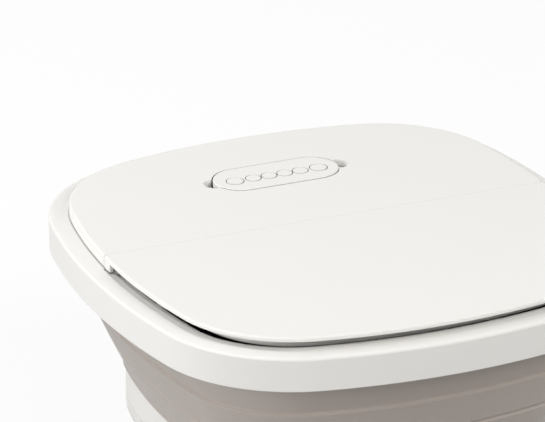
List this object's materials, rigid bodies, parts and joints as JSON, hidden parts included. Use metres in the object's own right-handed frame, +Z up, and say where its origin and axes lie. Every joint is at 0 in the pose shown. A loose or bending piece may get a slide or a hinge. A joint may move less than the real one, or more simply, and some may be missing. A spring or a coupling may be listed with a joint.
{
  "type": "folding foot spa basin",
  "caption": "Collapsible foot bath with a soft folding wall, hinged lid, pill-shaped remote in the lid, heated floor sump and motor-driven massage rollers.",
  "frame": {"origin": "centre of the footprint on the floor, under the feet", "axes": "+Z up, +X along the remote control, -Y towards the front, where the finger groove is"},
  "size_m": [0.4198, 0.4474, 0.2072],
  "materials": {
    "shell_white": "satin white ABS",
    "inner_white": "matte off-white plastic",
    "taupe_rubber": "soft warm grey thermoplastic elastomer",
    "grey_rubber": "matte",
    "grey_plastic": "matte warm grey",
    "steel": "brushed",
    "circuit_board": "green solder mask"
  },
  "bodies": {
    "base": {"base_tub": "shell_white", "bottom_cover": "shell_white", "rubber_feet": "grey_rubber", "cover_screws": "steel", "bellows_wall": "taupe_rubber", "lower_clamp_ring": "inner_white", "massage_motor": "steel", "motor_cradle": "inner_white", "front_belt": "grey_rubber", "rear_belt": "grey_rubber", "shaft_seals": "grey_rubber", "roller_bearings": "inner_white", "heating_element": "steel", "heater_grille": "grey_plastic", "temperature_sensor": "steel", "control_board": "circuit_board", "cord_gland": "grey_plastic"},
    "rim": {"rim_frame": "shell_white", "upper_clamp_ring": "inner_white"},
    "lid": {"lid_rear_half": "shell_white", "lid_hinge_web": "shell_white"},
    "flap": {"lid_front_flap": "shell_white"},
    "remote": {"remote_top_shell": "shell_white", "remote_bottom_shell": "shell_white", "remote_board": "circuit_board", "remote_cell": "steel"},
    "battery_door": {"remote_battery_door": "shell_white"},
    "drive_spindle": {"motor_pulley": "grey_plastic"},
    "front_rollers": {"front_roller_shaft": "steel", "front_pulley": "grey_plastic", "front_left_roller": "grey_plastic", "front_right_roller": "grey_plastic"},
    "rear_rollers": {"rear_roller_shaft": "steel", "rear_pulley": "grey_plastic", "rear_left_roller": "grey_plastic", "rear_right_roller": "grey_plastic"},
    "button_1": {"remote_button_1": "shell_white"},
    "button_2": {"remote_button_2": "shell_white"},
    "button_3": {"remote_button_3": "shell_white"},
    "button_4": {"remote_button_4": "shell_white"},
    "button_5": {"remote_button_5": "shell_white"},
    "button_6": {"remote_button_6": "shell_white"}
  },
  "joints": [
    {"name": "fold", "type": "slide", "parent": "base", "child": "rim", "axis": [0, 0, 1], "range_m": [-0.095, 0], "deforming": ["bellows_wall"]},
    {"name": "lid_lift", "type": "slide", "parent": "rim", "child": "lid", "axis": [0, 0, 1], "range_m": [0, 0.08]},
    {"name": "flap_hinge", "type": "hinge", "parent": "lid", "child": "flap", "pos_m": [0, 0.0207, 0.2066], "axis": [-1, 0, 0], "range_deg": [0, 110], "deforming": ["lid_hinge_web"]},
    {"name": "remote_lift", "type": "slide", "parent": "lid", "child": "remote", "axis": [0, 0, 1], "range_m": [0, 0.08]},
    {"name": "battery_door_turn", "type": "hinge", "parent": "remote", "child": "battery_door", "pos_m": [0.018, 0.12207, 0.1938], "axis": [0, 0, 1], "range_deg": [0, 45]},
    {"name": "motor_spin", "type": "hinge", "parent": "base", "child": "drive_spindle", "pos_m": [0, 0, 0.0235], "axis": [1, 0, 0], "continuous": true},
    {"name": "front_roller_spin", "type": "hinge", "parent": "base", "child": "front_rollers", "pos_m": [0, -0.0746, 0.045], "axis": [1, 0, 0], "continuous": true},
    {"name": "rear_roller_spin", "type": "hinge", "parent": "base", "child": "rear_rollers", "pos_m": [0, 0.0746, 0.045], "axis": [1, 0, 0], "continuous": true},
    {"name": "button_1_press", "type": "slide", "parent": "remote", "child": "button_1", "axis": [0, 0, -1], "range_m": [0, 0.0008], "stiffness_N_per_m": 600, "springref_m": -0.0003},
    {"name": "button_2_press", "type": "slide", "parent": "remote", "child": "button_2", "axis": [0, 0, -1], "range_m": [0, 0.0008], "stiffness_N_per_m": 600, "springref_m": -0.0003},
    {"name": "button_3_press", "type": "slide", "parent": "remote", "child": "button_3", "axis": [0, 0, -1], "range_m": [0, 0.0008], "stiffness_N_per_m": 600, "springref_m": -0.0003},
    {"name": "button_4_press", "type": "slide", "parent": "remote", "child": "button_4", "axis": [0, 0, -1], "range_m": [0, 0.0008], "stiffness_N_per_m": 600, "springref_m": -0.0003},
    {"name": "button_5_press", "type": "slide", "parent": "remote", "child": "button_5", "axis": [0, 0, -1], "range_m": [0, 0.0008], "stiffness_N_per_m": 600, "springref_m": -0.0003},
    {"name": "button_6_press", "type": "slide", "parent": "remote", "child": "button_6", "axis": [0, 0, -1], "range_m": [0, 0.0008], "stiffness_N_per_m": 600, "springref_m": -0.0003}
  ],
  "couplings": [
    {"joint": "motor_spin", "follows": "front_roller_spin", "ratio": 2.5},
    {"joint": "rear_roller_spin", "follows": "front_roller_spin", "ratio": 1}
  ]
}
